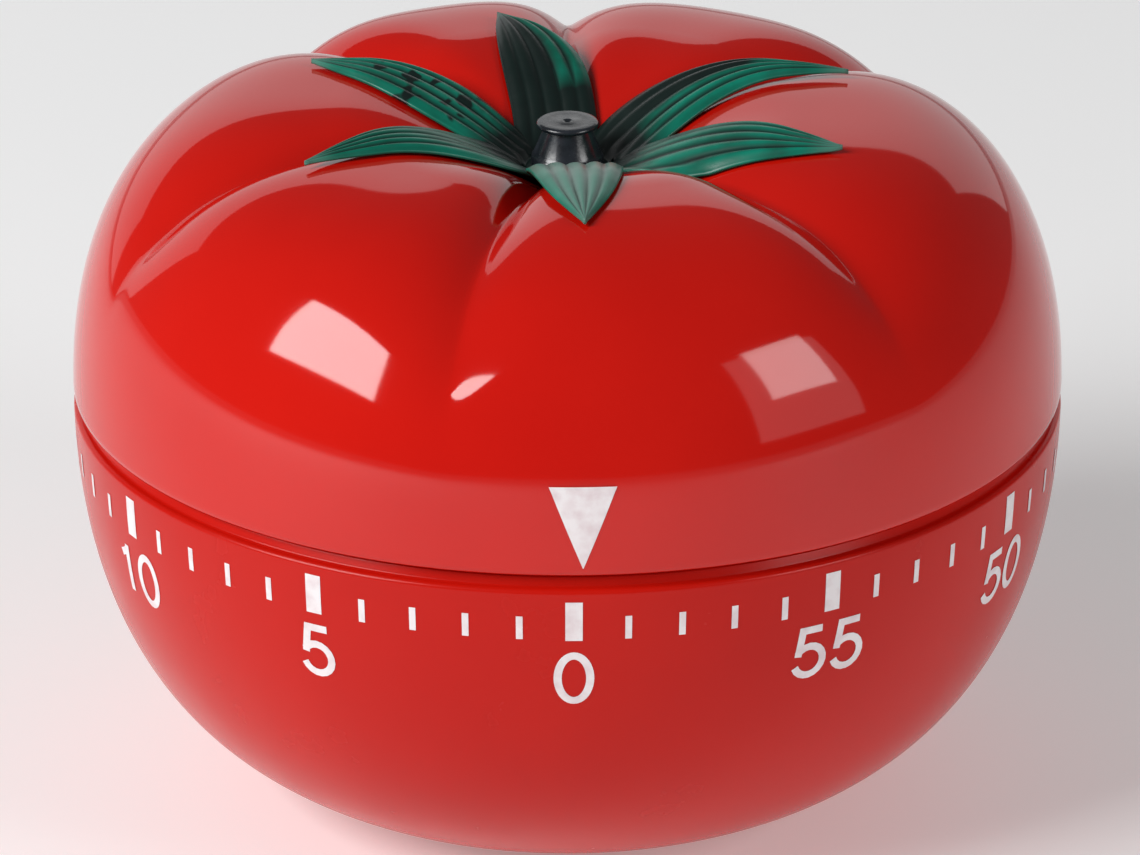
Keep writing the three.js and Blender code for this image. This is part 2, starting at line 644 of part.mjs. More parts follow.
function balanceBar() {
  const along = rad(-7);
  const [left, right] = [polar(-6, along), polar(6, along)];
  const weights = [left, right].map((end) => rod(1.3, BAR, 12).translate(end.x, end.y, 0));
  const bar = joined(slab(link(left, right, 0.8), BAR), rod(1.6, BAR, 12), ...weights);
  return cut(bar, rod(SHAFT + 0.05, [0, 40], 10));
}

add('anchor_staff', arbor(), STEEL, ANCHOR);
add('pallet_lever', palletLever(), STEEL, ANCHOR);
add('balance_bar', balanceBar(), BRASS, ANCHOR);

// ---- hammer: finger on the trip cam, arm and head under the back plate ----

const ARM = [9.25, 10];
const hammerStaff = turned([
  [0, ARM[0] - 0.5], [0.8, ARM[0] - 0.5], [0.8, FRONT_PLATE[0] - 0.25], [PIVOT, FRONT_PLATE[0] - 0.25],
  [PIVOT, FRONT_PLATE[1]], [0, FRONT_PLATE[1]],
], 10);
const bored = (geometry) => cut(geometry, rod(0.85, [0, 40], 10));
const fingerTip = FINGER_TIP.clone().sub(HAMMER);
const headPlace = HAMMER_HEAD.clone().sub(HAMMER);
add('hammer_staff', hammerStaff, STEEL, HAMMER);
add('hammer_finger', bored(joined(slab(link(MAIN, fingerTip, 0.5), LEVER), rod(1.6, LEVER))), STEEL, HAMMER);
add('hammer_arm', bored(joined(slab(link(MAIN, headPlace, 0.6), ARM), rod(1.6, ARM))), STEEL, HAMMER);

const headLevels = [ARM[0] - 1, ARM[1] + 0.5];
const towardStaff = angleOf(headPlace, MAIN);
const headSlot = [ARM[0] - 0.05, ARM[1] + 0.05];
const headBore = slab(link(polar(-2, towardStaff), polar(3, towardStaff), 0.65), headSlot);
add('hammer_head', cut(rod(1.5, headLevels, 16), headBore), BRASS, HAMMER_HEAD);

// A wire spring round the first pillar, with its tail behind the finger.
function hammerSpring() {
  const tail = new THREE.Vector2(12.6, -2.6).sub(PILLARS[0]);
  const coil = tube(2.5, PILLAR.radius + 0.1, LEVER, 14);
  const strip = slab(link(polar(2.2, angleOf(MAIN, tail)), tail, 0.2, 2), LEVER);
  return joined(coil, strip);
}

add('hammer_spring', hammerSpring(), SPRING_STEEL, PILLARS[0]);

// ---- bell ----

function bell() {
  const corner = 4;
  const outside = [[1.6, BELL_BOTTOM]];
  const inside = [];
  for (let i = 0; i <= 3; i += 1) {
    const angle = -Math.PI / 2 + Math.PI / 2 * i / 3;
    const at = (radius) => [
      BELL_RADIUS - corner + radius * Math.cos(angle),
      BELL_BOTTOM + corner + radius * Math.sin(angle),
    ];
    outside.push(at(corner));
    inside.unshift(at(corner - BELL_THICK));
  }
  const rim = [[BELL_RADIUS, BELL_TOP], [BELL_RADIUS - BELL_THICK, BELL_TOP]];
  return turned([...outside, ...rim, ...inside, [1.6, BELL_BOTTOM + BELL_THICK], outside[0]], 32);
}

add('bell', bell(), NICKEL);
const postProfile = [
  [0, BELL_BOTTOM + 3.2], [1.1, BELL_BOTTOM + 3.2], [1.1, BELL_BOTTOM + BELL_THICK],
  [2.5, BELL_BOTTOM + BELL_THICK], [2.5, BACK_PLATE[0] - 0.8], [4, BACK_PLATE[0] - 0.8],
  [4, BACK_PLATE[0]], [0, BACK_PLATE[0]],
];
add('bell_post', turned(postProfile, 20), STEEL);
const bellScrew = turned([
  [0, BELL_BOTTOM - 1], [2, BELL_BOTTOM - 1], [2.4, BELL_BOTTOM - 0.4], [2.4, BELL_BOTTOM], [1, BELL_BOTTOM],
  [1, BELL_BOTTOM + 3], [0, BELL_BOTTOM + 3],
], 16);
add('bell_screw', cut(bellScrew, box([9, 0.6, 1], [0, 0, BELL_BOTTOM - 1])), STEEL);

export default timer;
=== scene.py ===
"""Tomato-shaped mechanical kitchen timer on a pale floor. Lengths are in metres."""

import json
from collections import namedtuple
from math import atan2, cos, degrees, hypot, pi, radians, sin, sqrt

import bpy
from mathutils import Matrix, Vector


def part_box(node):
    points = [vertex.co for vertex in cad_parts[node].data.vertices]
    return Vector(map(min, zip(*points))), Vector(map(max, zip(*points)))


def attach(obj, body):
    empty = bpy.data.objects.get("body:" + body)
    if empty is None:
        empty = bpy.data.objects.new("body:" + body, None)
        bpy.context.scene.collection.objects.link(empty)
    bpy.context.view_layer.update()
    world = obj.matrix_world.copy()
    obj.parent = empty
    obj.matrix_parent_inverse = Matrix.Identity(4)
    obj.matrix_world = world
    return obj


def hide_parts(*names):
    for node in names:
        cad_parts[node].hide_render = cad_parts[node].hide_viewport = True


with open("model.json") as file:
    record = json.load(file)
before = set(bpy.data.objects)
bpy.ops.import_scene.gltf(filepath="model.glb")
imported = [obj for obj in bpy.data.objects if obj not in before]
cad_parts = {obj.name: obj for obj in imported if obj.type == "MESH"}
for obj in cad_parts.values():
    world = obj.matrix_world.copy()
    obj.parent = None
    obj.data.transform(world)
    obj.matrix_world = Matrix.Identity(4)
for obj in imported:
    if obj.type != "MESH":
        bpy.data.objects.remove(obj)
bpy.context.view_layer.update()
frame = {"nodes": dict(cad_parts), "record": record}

# ---- driving dimensions; the shells and the leaves follow the CAD model's ----

R = 0.036
SCALE_TOP = 0.785 * R
LOWER_RIM = 0.029
UPPER_RIM = 0.030
LIP_RADIUS = 0.03525
LIP_TOP = 0.02975
LOWER_WALL = 0.002
DIAL_WALL = 0.0018
FLOOR = 0.002
CREASES = [36, 90, 135, 200, 256, 314]
LOBE = {"crest": 0.465, "top": 0.628, "side_power": 0.679, "rise_power": 0.935, "inner": 0.484}
CREASE = {"crest": 0.484, "top": 0.567, "side_power": 0.76, "rise_power": 0.964, "inner": 0.473}
EQUATOR = 0.999
SIDE_FOOT = 0.05
CREASE_POWER = 4.2
CREASE_START = 0.17
CREASE_FULL = 0.62
CREASE_ROUND = 0.03
SLOPE_FOOT = 0.1
DIMPLE_FLOOR = 0.47 * R + SCALE_TOP
DIMPLE_RADIUS = 0.0032
RIM_ROUND = 0.0004
INK = 0.00003

# Azimuth in degrees, length, half width, the place along it where it is widest, sideways bend, share of the
# width at the foot, fullness of the point, and how far the clockwise edge hangs down.
Leaf = namedtuple("Leaf", "azimuth length half widest bend foot taper hang")
LEAVES = [
    Leaf(106, 0.0188, 0.0031, 0.3, -0.0011, 1, 2.4, 0),
    Leaf(156, 0.0204, 0.0031, 0.4, 0, 0.7, 1.8, 0),
    Leaf(213, 0.0220, 0.0041, 0.1, -0.0002, 0.75, 1.5, 0),
    Leaf(273, 0.0229, 0.0034, 0.3, 0, 0.6, 2.4, 0),
    Leaf(335, 0.0214, 0.0037, 0.25, -0.0009, 0.95, 2.4, 0.0017),
    Leaf(17, 0.0213, 0.0036, 0.1, 0.0024, 0.95, 1.6, 0),
]
LEAF_START = 0.0026
LEAF_THICK = 0.0008
LEAF_GAP = 0.0002
LEAF_RIDGES = 5

# ---- material building ----


def node_material(name, color, roughness, metallic=0.0, coat=0.0, coat_roughness=0.05):
    """A principled material with its node tree ready for patterns."""
    material = bpy.data.materials.new(name)
    material.use_nodes = True
    shader = material.node_tree.nodes["Principled BSDF"]
    shader.inputs["Base Color"].default_value = (*color, 1)
    shader.inputs["Roughness"].default_value = roughness
    shader.inputs["Metallic"].default_value = metallic
    shader.inputs["Coat Weight"].default_value = coat
    shader.inputs["Coat Roughness"].default_value = coat_roughness
    return material, material.node_tree, shader


def noise(tree, scale, detail=2.0, stretch=(1, 1, 1)):
    """A noise value read in object coordinates."""
    place = tree.nodes.new("ShaderNodeTexCoord")
    mapping = tree.nodes.new("ShaderNodeMapping")
    mapping.inputs["Scale"].default_value = stretch
    texture = tree.nodes.new("ShaderNodeTexNoise")
    texture.inputs["Scale"].default_value = scale
    texture.inputs["Detail"].default_value = detail
    tree.links.new(place.outputs["Object"], mapping.inputs["Vector"])
    tree.links.new(mapping.outputs["Vector"], texture.inputs["Vector"])
    return texture.outputs["Fac"]


def ramp(tree, value, stops):
    """A colour ramp over a value; stops are (place, colour)."""
    node = tree.nodes.new("ShaderNodeValToRGB")
    while len(node.color_ramp.elements) < len(stops):
        node.color_ramp.elements.new(0.5)
    for element, (place, color) in zip(node.color_ramp.elements, stops):
        element.position = place
        element.color = (*color, 1)
    tree.links.new(value, node.inputs["Fac"])
    return node.outputs["Color"]


def spread(tree, value, low, high):
    """A noise value stretched to the range low to high."""
    node = tree.nodes.new("ShaderNodeMapRange")
    node.inputs["From Min"].default_value = 0.3
    node.inputs["From Max"].default_value = 0.7
    node.inputs["To Min"].default_value = low
    node.inputs["To Max"].default_value = high
    tree.links.new(value, node.inputs["Value"])
    return node.outputs["Result"]


def bump(tree, shader, value, distance):
    """A value as relief of the skin, distance metres high."""
    node = tree.nodes.new("ShaderNodeBump")
    node.inputs["Strength"].default_value = 1.0
    node.inputs["Distance"].default_value = distance
    tree.links.new(value, node.inputs["Height"])
    tree.links.new(node.outputs["Normal"], shader.inputs["Normal"])


def red_plastic(name, depth, roughness, specular, ripple):
    """Moulded red plastic: slight mottling, faint waviness of the skin and uneven gloss."""
    material, tree, shader = node_material(name, (depth, 0.007, 0.003), roughness)
    shader.inputs["Specular IOR Level"].default_value = specular
    stops = [(0.3, (depth * 0.96, 0.0065, 0.0026)), (0.7, (depth * 1.04, 0.0085, 0.0034))]
    tree.links.new(ramp(tree, noise(tree, 60, 3), stops), shader.inputs["Base Color"])
    gloss = spread(tree, noise(tree, 180, 4), roughness * 0.9, roughness * 1.15)
    tree.links.new(gloss, shader.inputs["Roughness"])
    bump(tree, shader, noise(tree, 140, 1), ripple)
    return material


def field(tree, name):
    """A value stored on the mesh."""
    node = tree.nodes.new("ShaderNodeAttribute")
    node.attribute_name = name
    return node.outputs["Fac"]


def calculated(tree, operation, *values):
    """A math node over values and sockets."""
    node = tree.nodes.new("ShaderNodeMath")
    node.operation = operation
    node.use_clamp = operation == "MULTIPLY_ADD"
    for socket, value in zip(node.inputs, values):
        if isinstance(value, (int, float)):
            socket.default_value = value
        else:
            tree.links.new(value, socket)
    return node.outputs["Value"]


def mixed(tree, share, first, second):
    """One colour laid over another."""
    node = tree.nodes.new("ShaderNodeMix")
    node.data_type = "RGBA"
    for socket, value in ((node.inputs[0], share), (node.inputs[6], first), (node.inputs[7], second)):
        if isinstance(value, tuple):
            socket.default_value = (*value, 1)
        else:
            tree.links.new(value, socket)
    return node.outputs[2]


def leaf_plastic():
    """Green plastic with black spray in its grooves, on its foot and in specks, paler tips, and a painted
    sheen on leaf 4.
    """
    material, tree, shader = node_material("calyx_green", (0.002, 0.15, 0.09), 0.35, 0, 0.1, 0.2)
    shader.inputs["Specular IOR Level"].default_value = 0.38
    green = ramp(tree, noise(tree, 300, 3), [(0.3, (0.001, 0.14, 0.088)), (0.7, (0.003, 0.25, 0.165))])
    cloud = noise(tree, 420, 4)
    ragged = calculated(tree, "MULTIPLY_ADD", cloud, 1.2, -0.6)
    spray = calculated(tree, "MULTIPLY_ADD", field(tree, "spray"), 1.35, ragged)
    faint = calculated(tree, "MULTIPLY", ragged, 0.4)
    groove = calculated(tree, "MULTIPLY_ADD", field(tree, "groove"), 1.0, faint)
    spots = calculated(tree, "MAXIMUM", spread(tree, noise(tree, 650, 1), -3.0, 2.2), 0.0)
    specks = calculated(tree, "MULTIPLY", spots, field(tree, "specks"))
    black = calculated(tree, "MAXIMUM", spray, calculated(tree, "MAXIMUM", groove, specks))
    black = calculated(tree, "MINIMUM", calculated(tree, "MAXIMUM", black, 0.0), 0.97)
    color = mixed(tree, black, green, (0.006, 0.009, 0.009))
    # Pale grey-green over every leaf's tip, and over the middle of leaf 4 as a painted sheen standing in for
    # reflected light.
    color = mixed(tree, calculated(tree, "MULTIPLY", field(tree, "pale_tip_and_sheen"), 0.75), color, (0.2, 0.34, 0.29))
    tree.links.new(color, shader.inputs["Base Color"])
    tree.links.new(spread(tree, cloud, 0.3, 0.45), shader.inputs["Roughness"])
    bump(tree, shader, noise(tree, 500, 3), 0.00004)
    return material


def stem_plastic():
    """Black plastic, a little dusty on its rough top."""
    material, tree, shader = node_material("stem_black", (0.01, 0.012, 0.015), 0.3, 0, 0.4, 0.15)
    color = ramp(tree, noise(tree, 700, 5), [(0.35, (0.006, 0.008, 0.011)), (0.75, (0.03, 0.035, 0.045))])
    tree.links.new(color, shader.inputs["Base Color"])
    tree.links.new(spread(tree, noise(tree, 900, 3), 0.16, 0.34), shader.inputs["Roughness"])
    bump(tree, shader, noise(tree, 800, 3), 0.00006)
    return material


def printed_ink():
    """White pad-printed ink, thin enough that a little red shows in it."""
    material, tree, shader = node_material("white_ink", (0.85, 0.78, 0.79), 0.45)
    color = ramp(tree, noise(tree, 900, 4), [(0.3, (0.78, 0.66, 0.68)), (0.6, (0.9, 0.84, 0.85))])
    tree.links.new(color, shader.inputs["Base Color"])
    tree.links.new(spread(tree, noise(tree, 600, 2), 0.38, 0.55), shader.inputs["Roughness"])
    return material


def metal(name, color, roughness, stretch):
    """Machined metal: long fine scratches across one direction."""
    material, tree, shader = node_material(name, color, roughness, 1.0)
    scratches = noise(tree, 900, 3, stretch)
    darker = tuple(c * 0.82 for c in color)
    tree.links.new(ramp(tree, scratches, [(0.3, darker), (0.7, color)]), shader.inputs["Base Color"])
    tree.links.new(spread(tree, scratches, roughness * 0.8, roughness * 1.3), shader.inputs["Roughness"])
    bump(tree, shader, scratches, 0.00001)
    return material


DIAL_RED = red_plastic("dial_red", 0.61, 0.06, 0.5, 0.000004)
# The case's red is darker than the dial's partly as painted shade, holding down the bright floor's bounce on
# the lower half.
CASE_RED = red_plastic("case_red", 0.55, 0.24, 0.22, 0.000004)
DECK_RED = red_plastic("deck_red", 0.55, 0.4, 0.4, 0.00001)
LEAF_GREEN = leaf_plastic()
STEM_BLACK = stem_plastic()
WHITE_INK = printed_ink()
METALS = {
    "steel": metal("plated_steel", (0.62, 0.63, 0.65), 0.3, (1, 12, 1)),
    "brass": metal("sheet_brass", (0.78, 0.58, 0.25), 0.28, (1, 12, 1)),
    "spring_steel": metal("blued_spring_steel", (0.23, 0.26, 0.32), 0.25, (1, 1, 20)),
    "nickel": metal("nickel_plate", (0.75, 0.73, 0.70), 0.15, (6, 6, 1)),
}

# ---- mesh building ----


def new_piece(name, points, faces, material):
    """A smooth-shaded mesh object in the scene."""
    mesh = bpy.data.meshes.new(name)
    mesh.from_pydata(points, [], faces)
    mesh.materials.append(material)
    mesh.shade_smooth()
    piece = bpy.data.objects.new(name, mesh)
    bpy.context.scene.collection.objects.link(piece)
    return piece


def lofted(name, rings, material, caps=(None, None)):
    """A smooth skin through closed rings of equal count. A cap is a point that closes the first or last."""
    count = len(rings[0])
    points = [point for ring in rings for point in ring]
    faces = []
    for j in range(len(rings) - 1):
        for i in range(count):
            k = (i + 1) % count
            faces.append((j * count + i, j * count + k, (j + 1) * count + k, (j + 1) * count + i))
    if caps[0] is not None:
        points.append(caps[0])
        faces += [(len(points) - 1, (i + 1) % count, i) for i in range(count)]
    if caps[1] is not None:
        points.append(caps[1])
        last = (len(rings) - 1) * count
        faces += [(len(points) - 1, last + i, last + (i + 1) % count) for i in range(count)]
    return new_piece(name, points, faces, material)


def turned(name, profile, material, columns=192, caps=(None, None)):
    """A skin turned about Z through (radius, height) points."""
    turns = [2 * pi * i / columns for i in range(columns)]
    rings = [[(radius * cos(a), radius * sin(a), height) for a in turns] for radius, height in profile]
    return lofted(name, rings, material, tuple(None if c is None else (0, 0, c) for c in caps))


def settle(piece, body, slot, *nodes):
    """Puts a piece on its body and lets it stand for the CAD nodes it replaces."""
    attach(piece, body)
    if nodes:
        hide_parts(*nodes)
    return piece


def last_place(low, high, holds):
    """The place between low and high up to which the test holds, found by halving."""
    for _ in range(40):
        middle = (low + high) / 2
        if holds(middle):
            low = middle
        else:
            high = middle
    return low


# ---- the dial ----


def smooth(low, high, value):
    """0 below low and 1 above high, with a soft rise between them."""
    x = min(max((value - low) / (high - low), 0), 1)
    return x * x * (3 - 2 * x)


def meridian(t, shape):
    """Radius and height of a meridian in units of R: up the side for t 0 to 1, down the slope inside to 2."""
    if t <= 1:
        angle = t * pi / 2
        radius = shape["crest"] + (EQUATOR - shape["crest"]) * max(cos(angle), 0) ** shape["side_power"]
        return radius, SIDE_FOOT + (shape["top"] - SIDE_FOOT) * sin(angle) ** shape["rise_power"]
    radius = shape["crest"] - (shape["crest"] - SLOPE_FOOT) * (t - 1)
    return radius, shape["top"] - (shape["top"] - shape["inner"]) * (1 - cos((t - 1) * pi / 2))


def crease_share(across):
    """1 on a crease and 0 in the middle of a lobe, rounded at the crease's bottom."""
    away = 1 - abs(across)
    away = sqrt(away * away + CREASE_ROUND**2) - CREASE_ROUND
    return (1 - away) ** CREASE_POWER


def dial_point(t, across):
    """Radius and height of the dial's outside, in metres."""
    lobe = meridian(t, LOBE)
    crease = meridian(t, CREASE)
    share = smooth(CREASE_START, CREASE_FULL, t) * crease_share(across)
    radius, height = (a + (b - a) * share for a, b in zip(lobe, crease))
    return radius * R, height * R + SCALE_TOP


def dial_inside(t, across):
    """Radius and height of the dial's inside, one wall thickness in from its outside."""
    r0, z0 = dial_point(max(t - 1e-3, 0), across)
    r1, z1 = dial_point(t + 1e-3, across)
    size = hypot(r1 - r0, z1 - z0)
    radius, height = dial_point(t, across)
    return radius - DIAL_WALL * (z1 - z0) / size, height + DIAL_WALL * (r1 - r0) / size


def dimple_point(share, across):
    """The dimple's wall, from its flat floor at 0 to the lobes' inner slope at 1."""
    radius, height = dial_point(2, across)
    before = dial_point(1.99, across)
    slope = (before[1] - height) / (before[0] - radius) * (radius - DIMPLE_RADIUS)
    rise = height - DIMPLE_FLOOR
    lift = rise * (3 * share**2 - 2 * share**3) + slope * (share**3 - share**2)
    return DIMPLE_RADIUS + share * (radius - DIMPLE_RADIUS), DIMPLE_FLOOR + lift


def lobe_columns(steps=20):
    """Azimuth and place across its lobe of each column of the dial, closer together near the creases."""
    columns = []
    for crease, following in zip(CREASES, CREASES[1:] + [CREASES[0] + 360]):
        for step in range(-steps, steps):
            across = 1 - (1 - abs(step / steps)) ** 1.5
            across = across if step > 0 else -across
            columns.append((radians(crease + (following - crease) * (across + 1) / 2), across))
    return columns


def dial_height(radius, across=0.0):
    """Height of the dial's outside at a distance from the axis; across 0 gives the lobes' tops."""
    foot = dial_point(2, across)[0]
    if radius <= foot:
        return dimple_point(max(radius - DIMPLE_RADIUS, 0) / (foot - DIMPLE_RADIUS), across)[1]
    return dial_point(last_place(0, 2, lambda t: dial_point(t, across)[0] > radius), across)[1]


def across_at(azimuth):
    """Place across its lobe, from -1 to 1, of an azimuth in degrees."""
    turn = azimuth % 360
    turn = turn if turn >= CREASES[0] else turn + 360
    index = max(i for i, crease in enumerate(CREASES) if crease <= turn)
    following = CREASES[index + 1] if index + 1 < len(CREASES) else CREASES[0] + 360
    return 2 * (turn - CREASES[index]) / (following - CREASES[index]) - 1


def rim_round(radius, height, down):
    """The quarter round at a rim's outer edge, from its underside to its side."""
    return [
        (radius - RIM_ROUND + RIM_ROUND * sin(a), height + down * RIM_ROUND * (1 - cos(a)))
        for a in (pi / 2 * i / 4 for i in range(4))
    ]


def make_dial():
    columns = lobe_columns()
    side = [0.5 * (1 - cos(pi * i / 56)) for i in range(57)]
    side = [t for t in side if dial_point(t, 0)[1] > UPPER_RIM + RIM_ROUND]
    slope = [1 + i / 20 for i in range(1, 21)]

    def profile(across):
        inside = [dial_inside(t, across) for t in reversed([0.02, *side[::3], 1, *slope[::3]])]
        wall = [(inside[-1][0], UPPER_RIM)]
        outside = rim_round(EQUATOR * R, UPPER_RIM, 1) + [dial_point(t, across) for t in side + slope]
        dimple = [dimple_point(1 - i / 8, across) for i in range(1, 9)]
        return inside + wall + outside + dimple

    profiles = [profile(across) for _, across in columns]
    rings = [
        [(r * cos(azimuth), r * sin(azimuth), z) for (r, z), (azimuth, _) in zip(level, columns)]
        for level in zip(*profiles)
    ]
    caps = (0, 0, DIMPLE_FLOOR - DIAL_WALL), (0, 0, DIMPLE_FLOOR)
    return settle(lofted("dial_shell", rings, DIAL_RED, caps), "dial", "red_plastic", "upper_shell")


make_dial()

# ---- the lower shell and the deck's collar ----

# The lower shell's curve: heights in units of R above the scale's top, and the curve's two powers.
CUP_TOP = 0.068
CUP_DEEP = 0.878
CUP_SIDE = 3.303
CUP_BOTTOM = 2.33


def cup_point(angle, inset=0.0):
    """Radius and height of the lower shell's curve, at a distance inside its outer face."""

    def at(value):
        radius = EQUATOR * R * cos(value) ** (2 / CUP_SIDE)
        return radius, SCALE_TOP + CUP_TOP * R - CUP_DEEP * R * sin(value) ** (2 / CUP_BOTTOM)

    r0, z0 = at(max(angle - 1e-3, 0))
    r1, z1 = at(angle + 1e-3)
    size = hypot(r1 - r0, z1 - z0)
    radius, height = at(angle)
    return radius + inset * (z1 - z0) / size, height - inset * (r1 - r0) / size


def cup_angle(height, inset=0.0):
    """The angle at which the lower shell's curve passes a height."""
    return last_place(1e-3, 1.5, lambda angle: cup_point(angle, inset)[1] > height)


def cup_radius(height):
    """Outer radius of the lower shell at a height."""
    return cup_point(cup_angle(height))[0]


def cup_curve(bottom, top, inset, steps):
    """Points of the lower shell's curve from one height up to another."""
    start, end = cup_angle(bottom, inset), cup_angle(top, inset)
    return [cup_point(start + (end - start) * i / steps, inset) for i in range(steps + 1)]


def make_lower_shell():
    outside = cup_curve(0, LOWER_RIM - RIM_ROUND, 0, 56)
    inside = cup_curve(FLOOR, LOWER_RIM, LOWER_WALL, 16)
    rim = rim_round(EQUATOR * R, LOWER_RIM, -1)[::-1]
    edge = 0.0001
    lip = [
        (LIP_RADIUS + edge, LOWER_RIM), (LIP_RADIUS, LOWER_RIM + edge), (LIP_RADIUS, LIP_TOP - edge),
        (LIP_RADIUS - edge, LIP_TOP), (inside[-1][0], LIP_TOP),
    ]
    foot = [(radius, 0.0) for radius in (0.004, 0.009, 0.0138)]
    profile = foot + outside + rim + lip + inside[::-1]
    shell = turned("case_shell", profile, CASE_RED, caps=(0.0, FLOOR))
    cut_slots(shell)
    return settle(shell, "case", "red_plastic", "lower_shell")


SLOT_HALF = 0.001
SLOT_INNER = 0.005
SLOT_OUTER = 0.011


def cut_slots(shell):
    """Three sound slots through the floor."""
    cutters = []
    below, above = -0.001, FLOOR + 0.001
    for azimuth in (radians(60), radians(180), radians(300)):
        outline = []
        for start, sign in ((SLOT_OUTER, -1), (SLOT_INNER, 1)):
            for i in range(9):
                a = azimuth + sign * pi / 2 + pi * i / 8
                x, y = start * cos(azimuth) + SLOT_HALF * cos(a), start * sin(azimuth) + SLOT_HALF * sin(a)
                outline.append((x, y))
        rings = [[(x, y, z) for x, y in outline] for z in (below, above)]
        halfway = (SLOT_INNER + SLOT_OUTER) / 2
        middle = (halfway * cos(azimuth), halfway * sin(azimuth))
        caps = (*middle, below), (*middle, above)
        cutters.append(lofted("slot_cutter", rings, CASE_RED, caps))
    for cutter in cutters:
        modifier = shell.modifiers.new("slot", "BOOLEAN")
        modifier.object = cutter
        modifier.solver = "EXACT"
    bpy.context.view_layer.update()
    cut = bpy.data.meshes.new_from_object(shell.evaluated_get(bpy.context.evaluated_depsgraph_get()))
    shell.modifiers.clear()
    shell.data = cut
    for cutter in cutters:
        bpy.data.objects.remove(cutter)


make_lower_shell()

DECK_BORE = 0.0024
DECK_PLATE = 0.002
DECK_WALL = 0.0018
DECK_ROUND = 0.0003


def make_deck():
    low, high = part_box("deck")
    outer, top = high[0], high[2]
    inner = outer - DECK_WALL
    under = low[2] + 0.001
    over = under + DECK_PLATE
    profile = [
        (DECK_BORE, under), (outer - DECK_ROUND, under), (outer, under + DECK_ROUND),
        (outer, top - DECK_ROUND), (outer - DECK_ROUND, top), (inner + DECK_ROUND, top),
        (inner, top - DECK_ROUND), (inner, over), (DECK_BORE, over), (DECK_BORE, under),
    ]
    return settle(turned("deck_moulding", profile, DECK_RED), "case", "red_plastic", "deck")


make_deck()

# ---- calyx and stem ----

LEAF_ACROSS = 48
LEAF_ALONG = 56
LEAF_RIB = 0.00026
LEAF_POINT = 0.00006
LEAF_EDGE = 0.0001


def leaf_half_width(leaf, share):
    """Half the width of a leaf, share of the way from its foot to its point."""
    if share < leaf.widest:
        return leaf.half * (leaf.foot + (1 - leaf.foot) * smooth(0, leaf.widest, share))
    return max(leaf.half * (1 - ((share - leaf.widest) / (1 - leaf.widest)) ** leaf.taper), LEAF_POINT)


def leaf_rib(side):
    """1 on a leaf's ribs and 0 in the grooves between them."""
    return abs(cos(pi * LEAF_RIDGES * side / 2)) ** 0.7


def leaf_rings(leaf):
    """Closed sections of a leaf from foot to tip: ribbed on top, lying on the lobes, bridging the creases."""
    rings = []
    turn = radians(leaf.azimuth)
    for step in range(LEAF_ALONG + 1):
        share = step / LEAF_ALONG
        width = leaf_half_width(leaf, share)
        hump = 4 * share * (1 - share)
        rib = LEAF_RIB * smooth(0, 0.15, share) * smooth(0, 0.0018, width)
        thick = LEAF_THICK * (1 - 0.55 * share**2)
        top, under = [], []
        for i in range(LEAF_ACROSS + 1):
            side = 2 * i / LEAF_ACROSS - 1
            x, y = LEAF_START + share * (leaf.length - LEAF_START), leaf.bend * hump + side * width
            place = x * cos(turn) - y * sin(turn), x * sin(turn) + y * cos(turn)
            radius = hypot(*place)
            hanging = dial_height(radius) - leaf.hang * hump * (1 - side) / 2
            base = max(hanging, dial_height(radius, across_at(degrees(atan2(place[1], place[0]))))) + LEAF_GAP
            lift = thick * (1 - 0.7 * side**4) + rib * (leaf_rib(side) - 0.6) * (1 - side**8)
            top.append((*place, base + max(lift, LEAF_EDGE)))
            under.append((*place, base))
        rings.append(top + under[::-1])
    return rings


def black_spray(number, share, side):
    """How black a place on a leaf was sprayed: the foot of each, one whole leaf and half of another."""
    foot = 1 - smooth(0.05, 0.34, share)
    if number == 1:
        return max(1 - smooth(0.2, 0.5, share), smooth(-0.55, 0.05, side) * (1 - 0.6 * smooth(0.8, 1, share)))
    if number == 6:
        return max(foot, smooth(-0.25, 0.35, side) * (1 - smooth(0.55, 0.8, share)))
    if number == 5:
        return max(0.8 * foot, 0.5 * smooth(0.1, 0.6, side) * (1 - smooth(0.3, 0.6, share)))
    return foot * (0.5 if number == 4 else 0.9)


def store(piece, name, numbers):
    """Stores one value for each point of a piece's mesh."""
    attribute = piece.data.attributes.new(name, "FLOAT", "POINT")
    attribute.data.foreach_set("value", numbers)


def paint_leaf(piece, number):
    """Stores where the spray, the grooves, the paler tip and the painted sheen of a leaf are, for its
    material.
    """
    values = {"spray": [], "groove": [], "pale_tip_and_sheen": [], "specks": []}
    count = 2 * (LEAF_ACROSS + 1)
    for index in range(len(piece.data.vertices)):
        step, i = divmod(index, count)
        share = min(step / LEAF_ALONG, 1)
        i = i if i <= LEAF_ACROSS else count - 1 - i
        side = 2 * i / LEAF_ACROSS - 1
        values["spray"].append(black_spray(number, share, side))
        values["groove"].append((1 - abs(cos(pi * LEAF_RIDGES * side / 2)) ** 1.3) * (1 - side**6))
        speckled = smooth(0.2, 0.35, share) * (1 - smooth(0.6, 0.8, share))
        values["specks"].append(speckled if number == 2 else 0)
        tip = smooth(0.86, 1, share)
        # Tips are paler on every leaf; leaf 4's middle gets a painted sheen, a reflection painted into its
        # colour.
        values["pale_tip_and_sheen"].append(max(tip * 0.5, 0.75 * (1 - side**4) if number == 4 else 0))
    for name, numbers in values.items():
        store(piece, name, numbers)


